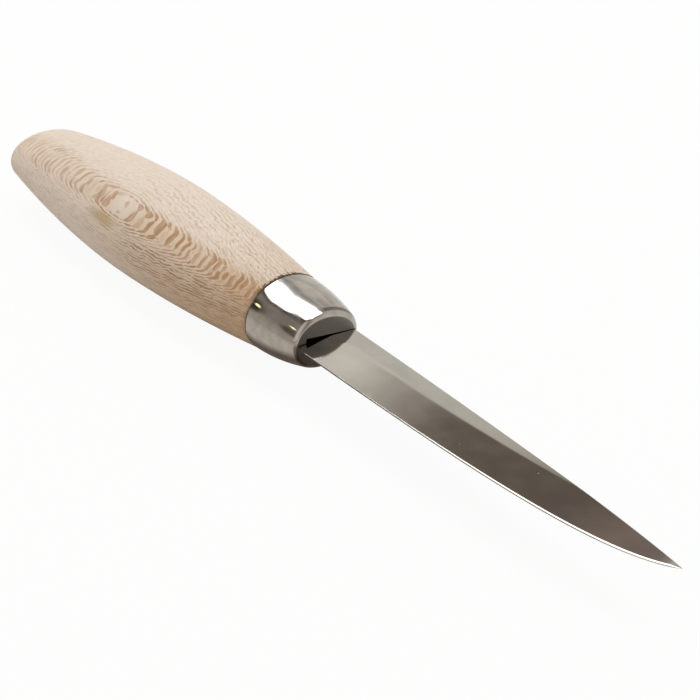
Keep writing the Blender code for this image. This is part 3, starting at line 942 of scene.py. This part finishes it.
def make_wood():
    """Pale wood whose thin rays show as flecks where the surface runs along them, and as lines elsewhere."""
    wood = Shader("figured_wood")
    grain = wood_grain(wood)
    rays = wood_rays(wood, grain)
    fibre_place = wood.stretch((rays.level, RAY_PITCH / FIBRE_THICKNESS), (grain.along, 1 / FIBRE_LENGTH),
                               (grain.radial, 1 / RAY_WAVE))
    fibre = wood.noise(fibre_place)
    figured = wood.step(grain.along, *FIGURED_ALONG)
    ray = wood.product(rays.strength, wood.step(fibre, *FIBRE_GAPS))
    fleck = wood.product(ray, wood.affine(figured, *FLECK_STRENGTH),
                         wood.step(grain.along, *FLECKS_ALONG))
    ground = wood_ground(wood, grain, rays, fibre, figured)
    colour = wood.mix(fleck, ground, wood.mix(rays.to_lines, FLECK_BROWN, LINE_BROWN))
    pore_place = wood.stretch((rays.level, PORES_IN_RAY), (grain.along, 1 / PORE_LENGTH),
                              (grain.radial, 1 / PORE_LENGTH))
    pore = wood.noise(pore_place, detail=1.0)
    pore = wood.steps((pore, PORE_STEP), (grain.along, PORE_ALONG))
    colour = wood.mix(pore, colour, PORE_BROWN)
    ragged = wood.math("ADD", grain.along, wood.product(wood.noise(grain.place, GAP_SHADOW_AND_DIRT_GRAINS), GAP_SHADOW_AND_DIRT_LENGTH))
    # painted shadow of the gap at the ferrule, with dirt, as a ragged dark line
    shadow_and_dirt = wood.steps((ragged, GAP_SHADOW_AND_DIRT_ALONG), (grain.radial, GAP_SHADOW_AND_DIRT_OUTWARD), (grain.along, GAP_SHADOW_AND_DIRT_END))
    wood.finish("Base Color", wood.mix(shadow_and_dirt, colour, GAP_SHADOW_AND_DIRT_BROWN))
    wood.finish("Specular IOR Level", WOOD_GLOSS)
    wood.finish("Roughness", wood.step(fibre, *WOOD_ROUGHNESS))
    wood.finish("Normal", wood.bump(wood.affine(ray, -RAY_DEPTH, fibre), *WOOD_BUMP))
    return wood.material


# Metal and glue

def make_ferrule_metal():
    """Polished metal, duller on the front wall, with painted shade behind the rim and on the front beside
    the ground edge.
    """
    metal = Shader("polished_ferrule")
    place = metal.place()
    along, across, rise = metal.split(place, "XYZ")
    cloud = metal.noise(place, FERRULE_CLOUDS, detail=4.0)
    face = metal.step(along, *FACE_ALONG)
    tint = metal.mix(metal.step(cloud, *FERRULE_TINT_STEP), *FERRULE_TINTS)
    tint = metal.mix(face, tint, FACE_TINT)
    # painted shade in a line behind the rim
    rim_shade = metal.steps((along, RIM_START), (along, RIM_END), (across, RIM_ACROSS))
    tint = metal.mix(rim_shade, tint, RIM_SHADE)
    # painted shade on the front round beside the ground edge
    corner = metal.steps((across, EDGE_SIDE_SHADE_ACROSS), (rise, EDGE_SIDE_SHADE_RISE), (along, EDGE_SIDE_SHADE_ALONG))
    metal.finish("Base Color", metal.mix(corner, tint, EDGE_SIDE_SHADE))
    metal.finish("Metallic", 1.0)
    polish = metal.step(cloud, *FERRULE_ROUGHNESS)
    metal.finish("Roughness", metal.affine(face, FACE_ROUGHER, polish))
    scratch = metal.noise(metal.vector("MULTIPLY", place, FERRULE_SCRATCHES))
    metal.finish("Normal", metal.bump(scratch, *FERRULE_BUMP))
    return metal.material


def make_steel():
    """Ground and polished steel, with painted shade by the heel and a few specks of dust."""
    steel = Shader("ground_steel")
    place = steel.place()
    along, across = steel.split(place, "XY")
    cloud = steel.noise(place, STEEL_CLOUDS, detail=3.0)
    tint = steel.mix(steel.step(cloud, *STEEL_TINT_STEP), *STEEL_TINTS)
    # painted shade by the heel
    heel_shade = steel.steps((along, HEEL_SHADE_ALONG), (across, HEEL_SHADE_ACROSS))
    tint = steel.mix(heel_shade, tint, HEEL_SHADE_TINT)
    near_speck = steel.cells(place, "Distance", SPECK_CELLS)
    chance = steel.add("ShaderNodeSeparateColor", "Red", {0: steel.cells(place, "Color", SPECK_CELLS)})
    speck = steel.steps((near_speck, SPECK_ROUND), (chance, SPECK_CHANCE), (along, SPECK_ALONG))
    steel.finish("Base Color", steel.mix(speck, tint, SPECK_TINT))
    steel.finish("Metallic", steel.minus(1.0, speck))
    steel.finish("Roughness", steel.step(cloud, *STEEL_ROUGHNESS))
    scratch = steel.noise(steel.vector("MULTIPLY", place, STEEL_SCRATCHES))
    steel.finish("Normal", steel.bump(scratch, *STEEL_BUMP))
    return steel.material


# dark glue, whose colour also stands in for the shade inside the slot
def make_glue_and_shade():
    glue = Shader("dark_glue_and_shade")
    cloud = glue.noise(glue.place(), GLUE_CLOUDS, detail=3.0)
    glue.finish("Base Color", glue.mix(cloud, *GLUE_AND_SHADE_TINTS))
    glue.finish("Roughness", glue.step(cloud, *GLUE_ROUGHNESS))
    return glue.material


# Studio

def seen_rays(shader, straight, mirrored):
    """One share for rays straight from the camera, one by way of gloss or glass, and 0 for the rest."""
    path = shader.tree.nodes.new("ShaderNodeLightPath")
    by_way = shader.math("MAXIMUM", path.outputs["Is Glossy Ray"], path.outputs["Is Transmission Ray"])
    return shader.affine(path.outputs["Is Camera Ray"], straight, shader.product(by_way, mirrored))


def show(shader, output):
    """Let a material show a shader of its own instead of the one it starts with."""
    shader.tree.nodes.remove(shader.surface)
    shader.tree.links.new(output, shader.tree.nodes["Material Output"].inputs["Surface"])


def make_floor():
    """A pale floor that keeps the knife's shadow."""
    paint = Shader("white_floor")
    matt = paint.add("ShaderNodeBsdfDiffuse", "BSDF", {"Color": FLOOR_GREY})
    glow = paint.add("ShaderNodeEmission", "Emission", {"Color": WHITE, "Strength": 1.0})
    share = seen_rays(paint, FLOOR_SEEN, FLOOR_MIRRORED)
    show(paint, paint.add("ShaderNodeMixShader", "Shader", {0: share, 1: matt, 2: glow}))
    half = FLOOR_SIZE / 2
    corners = [(-half, -half), (half, -half), (half, half), (-half, half)]
    floor = mesh_object(plate("floor", corners, FLOOR_HALF_THICKNESS))
    floor.location.z = cad_low.z - FLOOR_HALF_THICKNESS
    floor.data.materials.append(paint.material)


def make_world():
    """White for the camera alone, because the room or the floor stops nearly all other rays."""
    world = bpy.data.worlds.new("studio")
    world.use_nodes = True
    bpy.context.scene.world = world
    background = world.node_tree.nodes["Background"]
    background.inputs["Color"].default_value = WHITE
    background.inputs["Strength"].default_value = 1.0


def card(mesh, shader, colour, strength):
    """A glowing studio surface that the camera itself doesn't see."""
    show(shader, shader.add("ShaderNodeEmission", "Emission", {"Color": colour, "Strength": strength}))
    thing = mesh_object(mesh)
    thing.data.materials.append(shader.material)
    thing.visible_camera = False
    return thing


def heading(turn, rise):
    """The direction at so many degrees round from +X and up."""
    flat = cos(radians(rise))
    return Vector((flat * cos(radians(turn)), flat * sin(radians(turn)), sin(radians(rise))))


def dome_mesh():
    bm = bmesh.new()
    rings = ROOM_SEGMENTS // 2
    bmesh.ops.create_uvsphere(bm, u_segments=ROOM_SEGMENTS, v_segments=rings, radius=ROOM_RADIUS)
    below = [vert for vert in bm.verts if vert.co.z < -ROOM_DROP]
    bmesh.ops.delete(bm, geom=below, context="VERTS")
    return finished_mesh("room", bm)


def make_room():
    """A dome round the knife, light on one side and brown on the other, with a dark band in the light."""
    room = Shader("room")
    way = room.add("ShaderNodeVectorMath", "Vector", {0: room.place()}, operation="NORMALIZE")
    x, y, z = room.split(way, "XYZ")
    degree = radians(1)
    turn = room.product(room.math("ARCTAN2", y, x), 1 / degree)
    rise = room.product(room.math("ARCSINE", z), 1 / degree)
    above = room.math("ADD", room.affine(turn, BAND_SLOPE, rise), BAND_RISE)
    in_band = room.steps((turn, BAND_START), (turn, BAND_END), (rise, BAND_TOP))
    wall = room.mix(in_band, room.ramp(rise, WALL_RAMP), room.ramp(above, BAND_RAMP))
    dim = room.ramp(rise, DIM_RAMP)
    for dark_way in DARK_WAYS:
        near = room.dot(way, heading(*dark_way))
        dark = room.step(near, cos(DARK_REACH * degree), cos(DARK_FULL * degree))
        dim = room.mix(dark, dim, DARK_COLOUR)
    fill = room.steps((turn, FILL_START), (turn, FILL_END))
    dim = room.mix(fill, dim, FILL_COLOUR)
    side = room.math("COSINE", room.product(room.minus(turn, LIGHT_TURN), degree))
    dome = card(dome_mesh(), room, room.mix(room.step(side, *LIGHT_SIDE), dim, wall), 1.0)
    dome.location.x = STUDIO_X


def make_softbox():
    """The main light above the knife, with dark frames round it that shade off on the spine's side."""
    centre = sum((Vector(corner) for corner in SOFTBOX_OUTLINE), Vector((0.0, 0.0))) / len(SOFTBOX_OUTLINE)
    inner = [(STUDIO_X + x, y, SOFTBOX_HEIGHT) for x, y in SOFTBOX_OUTLINE]
    card(flat_mesh("softbox", inner), Shader("softbox"), SOFTBOX_COLOUR, SOFTBOX_STRENGTH)
    for i, (reach, tone) in enumerate(SOFTBOX_FRAMES):
        name = f"softbox_frame_{i + 1}"
        outer = []
        for corner in SOFTBOX_OUTLINE:
            x, y = Vector(corner) + (Vector(corner) - centre).normalized() * reach
            outer.append((STUDIO_X + x, y, SOFTBOX_HEIGHT + FRAME_STEP * (i + 1)))
        border = Shader(name)
        across = border.split(border.place(), "Y")[0]
        dark = tuple(tone * share for share in FRAME_WARMTH) + (1.0,)
        shade = border.mix(border.step(across, *FRAME_ACROSS), dark, FRAME_GREY)
        card(flat_mesh(name, outer), border, shade, 1.0)


def make_lamps():
    """Two small round lamps that glint in the ferrule."""
    for i, (lamp_way, radius) in enumerate(zip(LAMP_WAYS, LAMP_RADII)):
        way = heading(*lamp_way)
        name = f"lamp_{i + 1}"
        turns = [radians(360 * side / LAMP_SIDES) for side in range(LAMP_SIDES)]
        ring = [(radius * cos(turn), radius * sin(turn), 0.0) for turn in turns]
        disc = card(flat_mesh(name, ring), Shader(name), LAMP_COLOUR, LAMP_STRENGTH)
        stand = Vector((STUDIO_X, 0.0, 0.0)) + way * LAMP_DISTANCE
        disc.matrix_world = Matrix.Translation(stand) @ way.to_track_quat("Z", "Y").to_matrix().to_4x4()


def mirrored_card(name, outline, height, shader, colour, strength):
    """A level card that only polished surfaces show."""
    mesh = flat_mesh(name, [(x, y, 0.0) for x, y in outline])
    thing = card(mesh, shader, colour, strength)
    thing.location.z = height
    thing.visible_diffuse = False
    thing.visible_shadow = False
    thing.visible_transmission = False


def make_flag():
    """A card close below the knife, dark under its axis as a painted shadow of the knife on the floor."""
    flag = Shader("flag")
    aside = flag.math("ABSOLUTE", flag.split(flag.place(), "Y")[0])
    shade = flag.mix(flag.step(aside, *FLAG_TO_PALE), FLAG_PAINTED_SHADOW, FLAG_PALE)
    shade = flag.mix(flag.step(aside, *FLAG_TO_GREY), shade, FLAG_GREY)
    mirrored_card("flag", FLAG_OUTLINE, cad_low.z + FLAG_LIFT, flag, shade, 1.0)


def make_screen():
    """A grey card above the ferrule, white along its front border."""
    screen = Shader("screen")
    x, y = screen.split(screen.place(), "XY")
    corner_x, corner_y = SCREEN_CORNER
    past = screen.minus(x, corner_x)
    border = screen.affine(screen.math("MAXIMUM", past, 0.0), SCREEN_SLOPE_TO_TIP, corner_y)
    border = screen.affine(screen.math("MINIMUM", past, 0.0), SCREEN_SLOPE_TO_BUTT, border)
    depth = screen.minus(y, border)
    fade = screen.steps((x, SCREEN_GREY_ALONG), (depth, SCREEN_GREY_DEPTH))
    shade = screen.mix(fade, screen.ramp(depth, SCREEN_RAMP), SCREEN_GREY)
    mirrored_card("screen", SCREEN_OUTLINE, SCREEN_HEIGHT, screen, shade, SCREEN_STRENGTH)


def make_camera():
    data = bpy.data.cameras.new("camera")
    data.lens = CAMERA_LENS
    data.sensor_width = SENSOR_WIDTH
    data.clip_start = CLIP_START
    camera = bpy.data.objects.new("camera", data)
    bpy.context.scene.collection.objects.link(camera)
    aim = (CAMERA_AIM - CAMERA_PLACE).to_track_quat("-Z", "Y").to_matrix().to_4x4()
    camera.matrix_world = Matrix.Translation(CAMERA_PLACE) @ aim @ Matrix.Rotation(CAMERA_ROLL, 4, "Z")
    bpy.context.scene.camera = camera


def main():
    bpy.context.scene.view_settings.view_transform = "Standard"
    make_handle(make_wood())
    make_ferrule(make_ferrule_metal())
    make_blade(make_steel())
    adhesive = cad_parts["tang_adhesive"]
    adhesive.data.materials.clear()
    adhesive.data.materials.append(make_glue_and_shade())
    make_floor()
    make_world()
    make_room()
    make_softbox()
    make_lamps()
    make_flag()
    make_screen()
    make_camera()


main()
